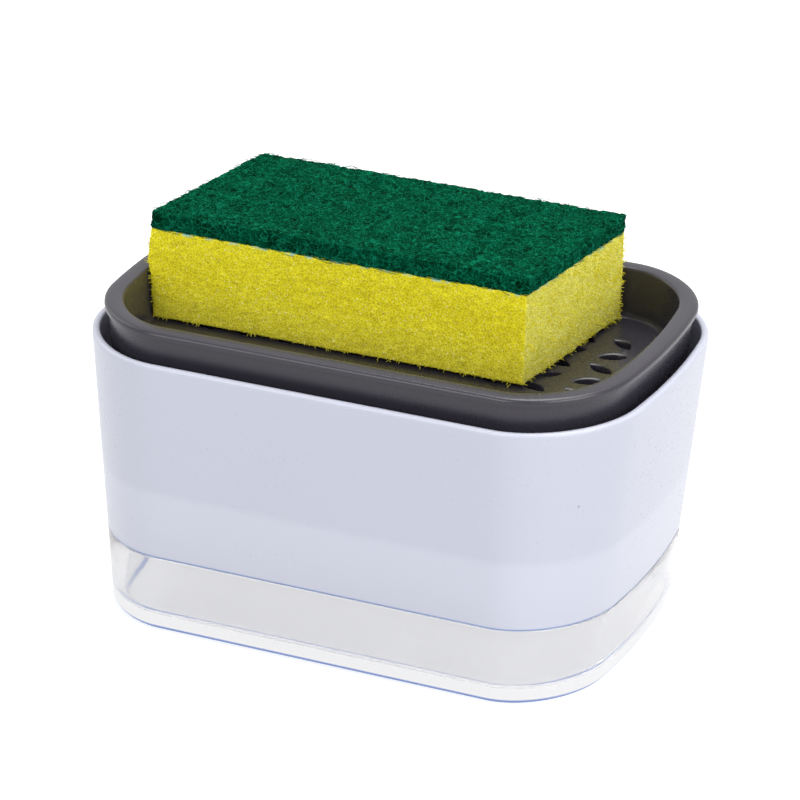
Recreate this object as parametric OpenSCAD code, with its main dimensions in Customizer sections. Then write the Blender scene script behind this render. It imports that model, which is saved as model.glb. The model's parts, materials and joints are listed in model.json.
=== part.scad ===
// Soap pump caddy: a clear soap tank, a white casing that lifts off it, a press pump
// in the casing's deck, a drip tray on the pump's head and a sponge on the tray.
// Millimetres. +Z is up, the front looks along -Y, and the origin is the middle of the base.

/* [Casing] */
// Width of the casing at its rim
body_w = 145; // [130:1:160]
// Depth of the casing at its rim
body_d = 106; // [96:1:116]
// Corner size along the width
corner_w = 25; // [20:0.5:30]
// Corner size along the depth
corner_d = 29; // [22:0.5:33]
// How far the short ends bow out, as a share of the half width
end_bow_share = 0.08; // [0:0.01:0.1]
// Height of the casing's rim above the table
casing_top = 73; // [70:0.5:80]
// How much narrower each side is at the table than at the rim
base_inset = 5.5; // [2:0.5:6]
// Wall of the casing
casing_wall = 2; // [1.6:0.1:2.4]
// Height of the deck's upper face above the table
deck_h = 43; // [41:0.5:46]
// Thickness of the deck
deck_t = 2; // [1.6:0.1:3]

/* [Tank] */
// Height of the line where casing and tank meet
seam_h = 20.5; // [16:0.5:26]
// Wall of the tank's neck
tank_wall = 1.8; // [1.4:0.1:2.4]
// Thickness of the tank's floor
tank_floor_t = 3; // [2:0.1:4]
// Bevel round the tank's lower edge
foot_bevel = 1.6; // [0.8:0.1:2.4]
// Bevel between the tank's floor and its inner wall
inner_bevel = 3; // [1:0.5:5]
// Gap between the tank's neck and the casing
neck_gap = 0.5; // [0.3:0.1:1]
// Draft of the neck on each side
neck_draft = 0.4; // [0:0.1:1]

/* [Tank seal] */
// Thickness of the seal on top of the neck
seal_t = 1.2; // [0.8:0.1:2]
// Height of the seal's lip inside the neck
seal_lip_h = 3; // [2:0.5:5]
// Thickness of the seal's lip
seal_lip_t = 1; // [0.8:0.1:1.6]
// Gap between the seal and the deck
seal_gap = 0.3; // [0.2:0.05:0.5]

/* [Pump] */
// How far the tray is pressed down
stroke = 9; // [6:0.5:11]
// Play that is left between head and nut at the end of the stroke
stroke_spare = 0.4; // [0.3:0.1:1]
// Outer radius of the threaded boss on the deck
boss_r = 13; // [12.8:0.1:14]
// Height of the threaded boss
boss_h = 6; // [5.6:0.2:8]
// Height of a thread turn above its core
thread_h = 0.8; // [0.5:0.1:1]
// Distance from one thread turn to the next
thread_pitch = 2; // [1.8:0.1:2.4]
// Gap between the boss's thread and the nut's wall
thread_gap = 0.2; // [0.15:0.05:0.3]
// Gap round the cylinder in the boss
boss_gap = 0.4; // [0.2:0.1:0.8]
// Wall of the lock nut
nut_wall = 2; // [1.6:0.1:2.4]
// Thickness of the lock nut's top
nut_top_t = 1.5; // [1.2:0.1:2.5]
// Gap between the lock nut and the deck
nut_foot_gap = 0.6; // [0.4:0.1:1]
// Gap between the lock nut's top and the head's hub
nut_hole_gap = 0.6; // [0.4:0.1:1.2]
// Thickness of the gasket under the cylinder's flange
gasket_t = 0.8; // [0.5:0.1:1.5]
// Bore radius of the pump cylinder
cylinder_bore_r = 7; // [6.8:0.05:7.2]
// Wall of the pump cylinder
cylinder_wall = 1.6; // [1.2:0.1:1.8]
// Thickness of the cylinder's flange
flange_t = 1.5; // [1:0.1:2.5]
// Rim of the flange beyond the cylinder's wall
flange_rim = 4; // [3.2:0.1:4]
// Thickness of the cylinder's end plate
end_plate_t = 3.5; // [3:0.1:5]
// Length of the spigot that holds the dip tube
spigot_len = 5; // [4:0.5:6]
// Wall of the spigot
spigot_wall = 1; // [0.8:0.1:1.4]
// Radius of the cylinder's vent hole
vent_r = 0.6; // [0.4:0.1:0.8]

/* [Stem and piston] */
// Outer radius of the stem
stem_r = 3.6; // [3.4:0.05:3.8]
// Bore radius of the stem
stem_bore_r = 1.5; // [1.3:0.05:1.6]
// Length of the guide that sits in the cylinder
guide_len = 4; // [3:0.5:5]
// Thickness of the guide's flange
guide_flange_t = 1; // [0.8:0.1:1.6]
// Length of the piston cup
piston_len = 6; // [5:0.5:7]
// Thickness of the piston plug
plug_t = 2.5; // [2:0.1:3.5]
// Length of the plug's pin in the stem
plug_pin_len = 3; // [2:0.5:5]
// Radius of the way through the plug and the nozzle
way_r = 0.9; // [0.6:0.05:1]
// Play between the piston and the guide
piston_play = 0.4; // [0.2:0.1:1]
// Running gap of the stem in its guide and of the piston in the cylinder
running_gap = 0.05; // [0.02:0.01:0.08]
// Gap of the parts that are pressed together
fit_gap = 0.02; // [0.01:0.01:0.03]

/* [Valves and spring] */
// Radius of the inlet ball
inlet_ball_r = 2.5; // [2.3:0.05:2.6]
// Radius of the hole under the inlet ball
inlet_hole_r = 1.6; // [1.2:0.05:1.6]
// How far the inlet ball lifts
inlet_lift = 1.2; // [0.8:0.1:1.6]
// Radius of the outlet ball
outlet_ball_r = 1.8; // [1.7:0.05:1.85]
// Radius of the throat under the outlet ball
throat_r = 1; // [0.8:0.05:1.1]
// How far the outlet ball lifts
outlet_lift = 1.2; // [0.8:0.1:1.4]
// Gap between a ball and its seat
ball_gap = 0.05; // [0.03:0.01:0.1]
// Play round a ball in its cage
ball_play = 0.6; // [0.45:0.05:0.7]
// Wall of the valve cage
cage_wall = 1.1; // [0.9:0.1:1.2]
// Thickness of the cage's flange and of its top
cage_plate_t = 0.9; // [0.7:0.1:1.2]
// Number of turns of the return spring
spring_turns = 6; // [5:1:7]
// Radius of the spring's wire
wire_r = 0.35; // [0.3:0.05:0.45]
// Gap between the spring and the cage
spring_gap = 0.45; // [0.3:0.05:0.6]
// Play over the cage and over the closed spring at the end of the stroke
cage_play = 0.6; // [0.4:0.1:1.5]

/* [Dip tube] */
// Outer radius of the dip tube
tube_r = 3; // [2.4:0.1:3.2]
// Wall of the dip tube
tube_wall = 0.8; // [0.5:0.1:1]
// Gap between the dip tube and the tank's floor
tube_gap = 1.5; // [1:0.25:3]

/* [Pump head] */
// Thickness of the head's plate
head_t = 2; // [1.6:0.1:3]
// Gap between the head's skirt and the lock nut
head_gap = 0.7; // [0.5:0.1:1.2]
// Wall of the head's skirt
head_wall = 1.3; // [1:0.1:2]
// Depth of the head's skirt under its plate
head_skirt = 6; // [4:0.5:6.5]
// Wall of the head's hub round the stem
hub_wall = 2; // [1.5:0.1:2.4]
// Radius of the nozzle cap
nozzle_r = 4.4; // [4:0.1:5]
// Length of the nozzle's pin over the outlet ball
nozzle_pin_len = 1.6; // [1.2:0.1:2.5]
// Wall of the nozzle's pin that the ball strikes
nozzle_notch = 0.8; // [0.6:0.1:1]

/* [Tray] */
// How far the tray's lip stands inside the casing's rim line
tray_inset = 3; // [2.8:0.1:3.4]
// Width of the flat rim of the tray
tray_rim_w = 4.9; // [4:0.1:6]
// How far the lip stands out over the tray's wall
lip_over = 1; // [0.6:0.1:1.2]
// Height of the lip
lip_h = 2; // [1.5:0.1:3]
// Depth of the tray's well
tray_depth = 13.4; // [11:0.2:15]
// Thickness of the tray's floor
tray_floor_t = 2; // [1.6:0.1:2.6]
// Draft of the tray's walls
tray_draft = 1; // [0.5:0.1:1.2]
// Height of the ring under the tray that locates it on the pump head
socket_h = 2; // [1:0.1:2]
// Wall of the locating ring
socket_wall = 1.6; // [1.2:0.1:2.4]
// Gap between the locating ring and the pump head
socket_gap = 0.15; // [0.1:0.05:0.3]
// Height of the ribs under the tray
rib_h = 2; // [1:0.1:2]
// Thickness of the ribs
rib_t = 1.2; // [0.8:0.1:1.4]
// Gap round the nozzle in the tray
nozzle_gap = 0.3; // [0.2:0.05:0.5]

/* [Drain holes] */
// Number of columns of drain holes
hole_columns = 10; // [6:2:10]
// Number of rows of drain holes
hole_rows = 9; // [5:2:9]
// Distance between the columns
hole_pitch_w = 11; // [10:0.1:11.4]
// Distance between the rows
hole_pitch_d = 8.9; // [8.4:0.1:9]
// Length of a leaf-shaped hole
leaf_len = 7.4; // [6:0.1:8]
// Width of a leaf-shaped hole
leaf_w = 3.5; // [3:0.1:3.8]
// Turn of each leaf from the rows, in degrees
leaf_turn = 30; // [20:1:34]

/* [Sponge] */
// Length of the sponge
sponge_l = 101; // [90:1:104]
// Width of the sponge
sponge_w = 54; // [50:1:57]
// Thickness of the foam
foam_t = 24; // [18:0.2:26]
// Thickness of the scouring pad
pad_t = 4.7; // [3:0.1:6]
// Place of the sponge along the width
sponge_x = -10.5; // [-13:0.5:0]
// Place of the sponge along the depth
sponge_y = 15; // [10:0.2:19]
// Turn of the sponge on the tray, in degrees
sponge_turn = 0; // [-4:0.5:3]
// Gap between the soft foam and the tray
foam_gap = 0.3; // [0.2:0.05:0.5]

/* [Hidden] */
$fn = 96;

// Depth by which a cut runs past the face it opens
over = 1;
// Thickness of the flat sections that a shell is drawn between
section_t = 0.02;
// Steps of one corner of the outline
corner_steps = 14;
// Steps of one bowed end of the outline
end_steps = 4;

// Heights of the tank
neck_top = deck_h - deck_t - seal_gap - seal_t;
neck_inset = inset_at(seam_h) + casing_wall + neck_gap;

// Radii and heights of the pump, from the deck upwards
cylinder_r = cylinder_bore_r + cylinder_wall;
boss_bore_r = cylinder_r + boss_gap;
boss_top = deck_h + boss_h;
flange_z = boss_top + gasket_t;
flange_top = flange_z + flange_t;
flange_r = cylinder_r + flange_rim;
guide_top = flange_top + guide_flange_t;
guide_flange_r = cylinder_r + 0.7 * flange_rim;
nut_bore_r = boss_r + thread_h + thread_gap;
nut_r = nut_bore_r + nut_wall;
nut_top = guide_top + nut_top_t;
nut_foot = deck_h + nut_foot_gap;
hub_r = stem_r + hub_wall;
nut_hole_r = hub_r + nut_hole_gap;
head_z = nut_top + stroke + stroke_spare;
head_top = head_z + head_t;
head_r = nut_r + head_gap + head_wall;
hub_z = guide_top + stroke + stroke_spare;

// Shares of a thread turn and the number of turns
turn_root_share = 0.4;
turn_crest_share = 0.24;
first_turn_share = 0.6;
boss_turns = 1 + floor((boss_h - thread_pitch * (first_turn_share + turn_root_share / 2)) / thread_pitch);

// Heights of the pump, from the guide downwards
piston_top = flange_top - guide_len - piston_play;
piston_z = piston_top - piston_len;
plug_z = piston_z - plug_t;
cage_bore_r = inlet_ball_r + ball_play;
cage_r = cage_bore_r + cage_wall;
seat_depth = cage_bore_r - inlet_hole_r;
inlet_ball_rise = inlet_ball_r * sqrt(2) - inlet_hole_r - seat_depth + ball_gap;
cage_h = inlet_ball_rise + inlet_ball_r + inlet_lift + ball_gap + cage_plate_t;
closed_spring_h = 2 * wire_r * (spring_turns + 1);
bore_floor = plug_z - stroke - cage_play - max(cage_h, cage_plate_t + closed_spring_h);
inlet_ball_z = bore_floor + inlet_ball_rise;
spigot_z = bore_floor - end_plate_t - spigot_len;
tube_top = bore_floor - end_plate_t;
tube_z = tank_floor_t + tube_gap;

// The outlet valve in the top of the stem
chamber_r = outlet_ball_r + ball_play;
pin_z = head_top - nozzle_pin_len;
outlet_ball_z = pin_z - ball_gap - outlet_lift - outlet_ball_r;
seat_z = outlet_ball_z - outlet_ball_r * sqrt(2) + throat_r - ball_gap;
throat_len = 1;

// The return spring
spring_z = bore_floor + cage_plate_t;
coil_r = cage_r + spring_gap + wire_r;
wire_sides = 8;
turn_steps = 22;
end_turns = 1;

// The tray, which rests on the pump's head
tray_floor = head_top + tray_floor_t;
tray_top = tray_floor + tray_depth;
wall_inset = tray_inset + lip_over;
well_inset = tray_inset + tray_rim_w;
floor_inset = well_inset + tray_draft;
lip_bevel = 0.6;
socket_r = head_r + socket_gap;
holes_clear_r = socket_r + socket_wall + leaf_len / 2;
leaf_arc_r = (leaf_len * leaf_len + leaf_w * leaf_w) / (4 * leaf_w);

// The sponge
foam_z = tray_floor + foam_gap;
pad_z = foam_z + foam_t;

// Inset of the outer face from the rim line at a height
function inset_at(z) = base_inset * (1 - z / casing_top);

// One point of the outline, with the short ends bowed out
function bowed(x, y, half_d) = [x * (1 - end_bow_share * pow(y / half_d, 2)), y];

// Outline of the object drawn in from the casing's rim line, a quarter at a time
function quarter(half_w, half_d, rw, rd, sx, sy) =
    [for (i = [0 : corner_steps])
        let (a = 90 * (sx * sy > 0 ? i : corner_steps - i) / corner_steps)
        bowed(sx * (half_w - rw + rw * cos(a)), sy * (half_d - rd + rd * sin(a)), half_d)];
function bowed_end(half_w, span, half_d, sx) =
    [for (i = [1 : end_steps - 1]) bowed(sx * half_w, sx * span * (2 * i / end_steps - 1), half_d)];
function outline(inset) =
    let (
        half_w = body_w / 2 - inset,
        half_d = body_d / 2 - inset,
        rw = corner_w - inset,
        rd = corner_d - inset
    )
    concat(
        bowed_end(half_w, half_d - rd, half_d, 1),
        quarter(half_w, half_d, rw, rd, 1, 1),
        quarter(half_w, half_d, rw, rd, -1, 1),
        bowed_end(half_w, half_d - rd, half_d, -1),
        quarter(half_w, half_d, rw, rd, -1, -1),
        quarter(half_w, half_d, rw, rd, 1, -1)
    );

// A straight frame between two outlines
module outline_frame(z, h, outer_inset, inner_inset) {
    translate([0, 0, z])
        linear_extrude(h)
            difference() {
                polygon(outline(outer_inset));
                polygon(outline(inner_inset));
            }
}

// A thin section of the outline whose lower face is at a height
module section(z, inset) {
    translate([0, 0, z]) linear_extrude(section_t) polygon(outline(inset));
}

// A shell between two heights
module shell(z_low, inset_low, z_high, inset_high) {
    hull() {
        section(z_low, inset_low);
        section(z_high - section_t, inset_high);
    }
}

// A ring with its axis on the pump's
module ring(r_out, r_in, z, h) {
    translate([0, 0, z]) rotate_extrude() translate([r_in, 0]) square([r_out - r_in, h]);
}

// Thread turns, drawn as rings that stand out from a core
module turns(core_r, height, first_z, count) {
    root = thread_pitch * turn_root_share;
    crest = thread_pitch * turn_crest_share;
    for (k = [0 : count - 1])
        translate([0, 0, first_z + k * thread_pitch])
            rotate_extrude()
                polygon([
                    [core_r - sign(height) * thread_gap, -root / 2],
                    [core_r, -root / 2],
                    [core_r + height, -crest / 2],
                    [core_r + height, crest / 2],
                    [core_r, root / 2],
                    [core_r - sign(height) * thread_gap, root / 2]
                ]);
}

module soap_tank() {
    color("lightcyan", 0.4)
    difference() {
        union() {
            hull() {
                section(0, inset_at(0) + foot_bevel);
                section(foot_bevel, inset_at(foot_bevel));
                section(seam_h - section_t, inset_at(seam_h));
            }
            shell(seam_h - over, neck_inset, neck_top, neck_inset + neck_draft);
        }
        hull() {
            section(tank_floor_t, neck_inset + tank_wall + inner_bevel);
            section(tank_floor_t + inner_bevel, neck_inset + tank_wall);
            section(neck_top + over, neck_inset + tank_wall + neck_draft);
        }
    }
}

// A flat ring on the neck with a lip inside it
module tank_seal() {
    ring_inset = neck_inset + neck_draft;
    lip_inset = ring_inset + tank_wall + fit_gap;
    color("silver") {
        outline_frame(neck_top, seal_t, ring_inset, lip_inset + seal_lip_t);
        outline_frame(neck_top - seal_lip_h, seal_lip_h + seal_t / 2, lip_inset, lip_inset + seal_lip_t);
    }
}

// The outer shell with its deck and the threaded boss for the pump
module casing() {
    first_turn = deck_h + thread_pitch * first_turn_share;
    color("white")
    difference() {
        union() {
            difference() {
                shell(seam_h, inset_at(seam_h), casing_top, 0);
                shell(deck_h, inset_at(deck_h) + casing_wall, casing_top + over, casing_wall);
                shell(
                    seam_h - over, inset_at(seam_h) + casing_wall,
                    deck_h - deck_t, inset_at(deck_h - deck_t) + casing_wall
                );
            }
            translate([0, 0, deck_h - deck_t]) cylinder(r = boss_r, h = deck_t + boss_h);
            turns(boss_r, thread_h, first_turn, boss_turns);
        }
        translate([0, 0, deck_h - deck_t - over])
            cylinder(r = boss_bore_r, h = deck_t + boss_h + 2 * over);
    }
}

module neck_gasket() {
    color("dimgray") ring(flange_r, cylinder_r + fit_gap, boss_top, gasket_t);
}

// The nut that clamps the cylinder's flange on the boss
module lock_nut() {
    first_turn = deck_h + thread_pitch * (first_turn_share + 0.5);
    flutes = 24;
    flute_r = nut_wall / 3;
    color("whitesmoke") {
        difference() {
            translate([0, 0, nut_foot]) cylinder(r = nut_r, h = nut_top - nut_foot);
            translate([0, 0, nut_foot - over]) cylinder(r = nut_bore_r, h = guide_top - nut_foot + over);
            translate([0, 0, guide_top - over]) cylinder(r = nut_hole_r, h = nut_top_t + 2 * over);
            for (k = [0 : flutes - 1])
                rotate(k * 360 / flutes)
                    translate([nut_r + flute_r / 2, 0, nut_foot - over])
                        cylinder(r = flute_r, h = guide_top - nut_foot, $fn = 24);
        }
        turns(nut_bore_r, -thread_h, first_turn, boss_turns - 1);
    }
}

// The cylinder, with its flange, the inlet seat and the spigot for the dip tube
module pump_cylinder() {
    color("white")
    difference() {
        rotate_extrude()
            polygon([
                [inlet_hole_r, bore_floor - end_plate_t],
                [tube_r + fit_gap, bore_floor - end_plate_t],
                [tube_r + fit_gap, spigot_z],
                [tube_r + fit_gap + spigot_wall, spigot_z],
                [tube_r + fit_gap + spigot_wall, bore_floor - end_plate_t],
                [cylinder_r, bore_floor - end_plate_t / 2],
                [cylinder_r, flange_z],
                [flange_r, flange_z],
                [flange_r, flange_top],
                [cylinder_bore_r, flange_top],
                [cylinder_bore_r, bore_floor],
                [cage_bore_r, bore_floor],
                [inlet_hole_r, bore_floor - seat_depth]
            ]);
        translate([0, 0, piston_z + piston_len / 2])
            rotate([0, 90, 0]) cylinder(r = vent_r, h = cylinder_r + over);
    }
}

module stem_guide() {
    bore_r = stem_r + running_gap;
    color("lightgray")
    rotate_extrude()
        polygon([
            [bore_r, flange_top - guide_len],
            [cylinder_bore_r - fit_gap, flange_top - guide_len],
            [cylinder_bore_r - fit_gap, flange_top],
            [guide_flange_r, flange_top],
            [guide_flange_r, guide_top],
            [bore_r, guide_top]
        ]);
}

// A slotted cup over the inlet ball, with a flange that the spring stands on
module valve_cage() {
    window_h = cage_h - 2 * cage_plate_t - inlet_ball_rise;
    color("lightgray")
    difference() {
        union() {
            translate([0, 0, bore_floor]) cylinder(r = cylinder_bore_r - fit_gap, h = cage_plate_t);
            translate([0, 0, bore_floor]) cylinder(r = cage_r, h = cage_h);
        }
        translate([0, 0, bore_floor - over]) cylinder(r = cage_bore_r, h = cage_h - cage_plate_t + over);
        translate([0, 0, bore_floor]) cylinder(r = inlet_hole_r, h = cage_h + over);
        for (k = [0 : 1])
            rotate(k * 90)
                translate([-cage_r - over, -inlet_hole_r / 2, bore_floor + cage_plate_t + inlet_ball_rise])
                    cube([2 * (cage_r + over), inlet_hole_r, window_h]);
    }
}

module inlet_ball() {
    color("silver") translate([0, 0, inlet_ball_z]) sphere(r = inlet_ball_r);
}

// Height of the wire's centre after a number of turns: closed turns at both ends
function wire_height(turn, low, high) =
    let (
        step = 2 * wire_r,
        free = (high - low - 2 * step * end_turns) / (spring_turns - 2 * end_turns)
    )
    turn < end_turns ? low + step * turn
        : turn > spring_turns - end_turns ? high - step * (spring_turns - turn)
        : low + step * end_turns + free * (turn - end_turns);

module return_spring() {
    low = spring_z + wire_r + fit_gap;
    high = plug_z - wire_r - fit_gap;
    last = spring_turns * turn_steps;
    rings = [for (i = [0 : last])
        let (a = 360 * i / turn_steps, z = wire_height(i / turn_steps, low, high))
        for (j = [0 : wire_sides - 1])
            let (b = 360 * j / wire_sides, r = coil_r + wire_r * cos(b))
            [r * cos(a), r * sin(a), z + wire_r * sin(b)]];
    sides = [for (i = [0 : last - 1], j = [0 : wire_sides - 1])
        let (k = (j + 1) % wire_sides)
        [i * wire_sides + j, i * wire_sides + k, (i + 1) * wire_sides + k, (i + 1) * wire_sides + j]];
    first_cap = [[for (j = [wire_sides - 1 : -1 : 0]) j]];
    last_cap = [[for (j = [0 : wire_sides - 1]) last * wire_sides + j]];
    color("silver") polyhedron(rings, concat(sides, first_cap, last_cap));
}

module dip_tube() {
    color("whitesmoke") ring(tube_r, tube_r - tube_wall, tube_z, tube_top - tube_z);
}

// The hollow stem: a bore, a throat and the chamber of the outlet ball
module pump_stem() {
    color("white")
    rotate_extrude()
        polygon([
            [stem_bore_r, piston_z],
            [stem_r, piston_z],
            [stem_r, head_top],
            [chamber_r, head_top],
            [chamber_r, seat_z + chamber_r - throat_r],
            [throat_r, seat_z],
            [throat_r, seat_z - throat_len],
            [stem_bore_r, seat_z - throat_len - stem_bore_r + throat_r]
        ]);
}

// The piston's cup: two lips that wipe the cylinder
module piston_cup() {
    lip_r = cylinder_bore_r - running_gap;
    waist_r = (lip_r + stem_r) / 2 + stem_r / 8;
    lip = piston_len / 6;
    color("gainsboro")
    rotate_extrude()
        polygon([
            [stem_r + fit_gap, piston_z],
            [lip_r, piston_z],
            [lip_r, piston_z + lip],
            [waist_r, piston_z + 2 * lip],
            [waist_r, piston_top - 2 * lip],
            [lip_r, piston_top - lip],
            [lip_r, piston_top],
            [stem_r + fit_gap, piston_top]
        ]);
}

// The plug under the piston, which the spring pushes on
module piston_plug() {
    color("lightgray")
    difference() {
        union() {
            translate([0, 0, plug_z]) cylinder(r = coil_r + wire_r, h = plug_t);
            translate([0, 0, plug_z]) cylinder(r = stem_bore_r - fit_gap, h = plug_t + plug_pin_len);
        }
        translate([0, 0, plug_z - over]) cylinder(r = way_r, h = plug_t + plug_pin_len + 2 * over);
    }
}

module outlet_ball() {
    color("silver") translate([0, 0, outlet_ball_z]) sphere(r = outlet_ball_r);
}

// The head: a plate with a hub for the stem and a skirt round the lock nut
module pump_head() {
    color("white") {
        difference() {
            translate([0, 0, head_z - head_skirt]) cylinder(r = head_r, h = head_t + head_skirt);
            translate([0, 0, head_z - head_skirt - over])
                cylinder(r = head_r - head_wall, h = head_skirt + over);
            translate([0, 0, head_z - over]) cylinder(r = stem_r + fit_gap, h = head_t + 2 * over);
        }
        ring(hub_r, stem_r + fit_gap, hub_z, head_z - hub_z + head_t / 2);
    }
}

// The cap that holds the outlet ball in and ends level with the tray's floor
module nozzle_cap() {
    color("white")
    difference() {
        union() {
            translate([0, 0, head_top]) cylinder(r = nozzle_r, h = tray_floor_t);
            translate([0, 0, pin_z])
                cylinder(r = chamber_r - fit_gap, h = nozzle_pin_len + tray_floor_t / 2);
        }
        translate([0, 0, pin_z - over]) cylinder(r = way_r, h = nozzle_pin_len + tray_floor_t + 2 * over);
        for (k = [0 : 1])
            rotate(k * 90)
                translate([-chamber_r - over, -nozzle_notch / 2, pin_z - over])
                    cube([2 * (chamber_r + over), nozzle_notch, nozzle_notch + over]);
    }
}

// One leaf-shaped hole: where two arcs cross
module leaf() {
    intersection() {
        translate([0, leaf_arc_r - leaf_w / 2]) circle(r = leaf_arc_r);
        translate([0, leaf_w / 2 - leaf_arc_r]) circle(r = leaf_arc_r);
    }
}

// The drain holes: the leaves of each row lean the other way than those of the next row
module drain_holes() {
    for (row = [0 : hole_rows - 1], column = [0 : hole_columns - 1]) {
        x = (column - (hole_columns - 1) / 2) * hole_pitch_w;
        y = (row - (hole_rows - 1) / 2) * hole_pitch_d;
        if (norm([x, y]) > holes_clear_r)
            translate([x, y, head_top - over])
                linear_extrude(tray_floor_t + 2 * over)
                    rotate(row % 2 == 0 ? leaf_turn : -leaf_turn) leaf();
    }
}

// Stiffening ribs under the floor, between the rows of holes
module tray_ribs() {
    long = body_w - 2 * (wall_inset + tray_draft) - corner_w / 2;
    deep = body_d - 2 * (wall_inset + tray_draft) - 2 * rib_t;
    rib_z = head_top - rib_h;
    for (side = [-1, 1])
        translate([-long / 2, side * 1.5 * hole_pitch_d - rib_t / 2, rib_z])
            cube([long, rib_t, rib_h + tray_floor_t / 2]);
    translate([-rib_t / 2, -deep / 2, rib_z]) cube([rib_t, deep, rib_h + tray_floor_t / 2]);
}

module drip_tray() {
    color("dimgray")
    difference() {
        union() {
            difference() {
                union() {
                    hull() {
                        section(tray_top - lip_h, tray_inset);
                        section(tray_top - lip_bevel, tray_inset);
                        section(tray_top - section_t, tray_inset + lip_bevel);
                    }
                    shell(head_top, wall_inset + tray_draft, tray_top - lip_bevel, wall_inset);
                }
                shell(tray_floor, floor_inset, tray_top + over, well_inset);
            }
            tray_ribs();
            translate([0, 0, head_top - socket_h])
                cylinder(r = socket_r + socket_wall, h = socket_h + tray_floor_t / 2);
        }
        translate([0, 0, head_top - socket_h - over]) cylinder(r = socket_r, h = socket_h + over);
        translate([0, 0, head_top - over]) cylinder(r = nozzle_r + nozzle_gap, h = tray_floor_t + 2 * over);
        drain_holes();
    }
}

// A block with the sponge's plan, between two heights
module sponge_block(z, h) {
    translate([sponge_x, sponge_y, z])
        rotate(sponge_turn)
            translate([-sponge_l / 2, -sponge_w / 2, 0]) cube([sponge_l, sponge_w, h]);
}

// The foam: it gives way to the tray's wall up to where the casing's rim stands when the tray is down
module sponge_foam() {
    brim = max(tray_top, casing_top + stroke) + foam_gap;
    color("yellow")
    intersection() {
        sponge_block(foam_z, foam_t);
        union() {
            shell(foam_z - over, floor_inset + foam_gap, brim, well_inset + foam_gap);
            translate([-body_w, -body_d, brim - section_t]) cube([2 * body_w, 2 * body_d, foam_t]);
        }
    }
}

module scouring_pad() {
    color("darkgreen") sponge_block(pad_z, pad_t);
}

soap_tank();
tank_seal();
casing();
neck_gasket();
lock_nut();
pump_cylinder();
stem_guide();
valve_cage();
inlet_ball();
return_spring();
dip_tube();
pump_stem();
piston_cup();
piston_plug();
outlet_ball();
pump_head();
nozzle_cap();
drip_tray();
sponge_foam();
scouring_pad();
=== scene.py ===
"""The looks of the soap pump caddy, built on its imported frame. Metres, +Z up, the front looks along -Y."""

import json
import math
import random

import bmesh
import bpy
from mathutils import Matrix, Vector


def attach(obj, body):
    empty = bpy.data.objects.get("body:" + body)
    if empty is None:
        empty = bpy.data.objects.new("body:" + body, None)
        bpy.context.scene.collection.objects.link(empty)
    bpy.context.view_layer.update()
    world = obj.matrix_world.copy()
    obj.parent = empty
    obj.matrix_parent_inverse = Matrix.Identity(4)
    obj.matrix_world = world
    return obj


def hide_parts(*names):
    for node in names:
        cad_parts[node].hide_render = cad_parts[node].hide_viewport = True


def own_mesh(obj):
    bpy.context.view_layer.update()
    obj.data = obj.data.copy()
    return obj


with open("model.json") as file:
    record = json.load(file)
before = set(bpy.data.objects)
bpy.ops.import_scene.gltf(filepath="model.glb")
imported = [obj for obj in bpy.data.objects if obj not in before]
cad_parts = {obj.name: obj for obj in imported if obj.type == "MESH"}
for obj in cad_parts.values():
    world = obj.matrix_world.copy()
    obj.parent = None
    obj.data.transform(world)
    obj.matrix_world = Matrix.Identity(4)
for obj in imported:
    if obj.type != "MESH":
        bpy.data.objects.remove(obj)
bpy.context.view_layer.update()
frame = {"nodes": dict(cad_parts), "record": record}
NODES = frame["nodes"]

MM = 0.001

# The caddy's main sizes, in millimetres, as its source has them
BODY_W, BODY_D = 145, 106
CORNER_W, CORNER_D = 25, 29
END_BOW = 0.08
CASING_TOP, BASE_INSET, CASING_WALL = 73, 5.5, 2
SEAM, DECK, DECK_T = 20.5, 43, 2
TANK_WALL, TANK_FLOOR, NECK_TOP = 1.8, 3, 39.5
BOSS_R, BOSS_TOP, BOSS_BORE = 13, 49, 9
THREAD_H, THREAD_PITCH = 0.8, 2
HEAD_TOP, TRAY_FLOOR, TRAY_TOP = 65.2, 67.2, 80.6
TRAY_INSET, WALL_INSET, WELL_INSET = 3, 4, 7.9
NOZZLE_HOLE, SOCKET_R, SOCKET_WALL = 4.7, 18.15, 1.6
RIB_H, RIB_T = 2, 1.2
HOLE_COLUMNS, HOLE_ROWS, HOLE_PITCH_W, HOLE_PITCH_D = 10, 9, 11, 8.9
LEAF_LEN, LEAF_W, LEAF_TURN = 7.4, 3.5, 30
SPONGE_L, SPONGE_W, SPONGE_X, SPONGE_Y = 101, 54, -10.5, 15
FOAM_Z, PAD_Z, PAD_TOP = 67.5, 91.5, 96.2

# How far the hand-cut sponge leans out of square, in millimetres of shift for each millimetre of depth
SPONGE_SKEW = 0.11

# How far the foam's left end bulges out over the tray's rim
BULGE = 1.0

# The ring that the deck and the tank's floor run to on their way in, as an inset
MIDDLE_INSET = 24

# Points of one corner, of one short end and of one long side of the outline
CORNER_POINTS, END_POINTS, SIDE_POINTS = 18, 8, 12

FOAM_VOXEL, PAD_VOXEL, QUICK_VOXEL = 0.45, 0.5, 1.2

STRUTS, QUICK_STRUTS, STRUT_R, STRUT_SEED = 9000, 600, 0.065, 11
FIBRES, QUICK_FIBRES, FIBRE_R, FIBRE_SEED = 4200, 700, 0.06, 7


# Tools


def deselect():
    if bpy.context.mode != "OBJECT":
        bpy.ops.object.mode_set(mode="OBJECT")
    bpy.ops.object.select_all(action="DESELECT")


def pick(piece):
    """Makes a piece the only selected one."""
    deselect()
    piece.select_set(True)
    bpy.context.view_layer.objects.active = piece


def named(name):
    piece = bpy.context.object
    piece.name = name
    piece.data.name = name
    return piece


def settle(piece):
    """Puts a piece's place into its mesh."""
    pick(piece)
    bpy.ops.object.transform_apply(location=True, rotation=True, scale=True)


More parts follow.
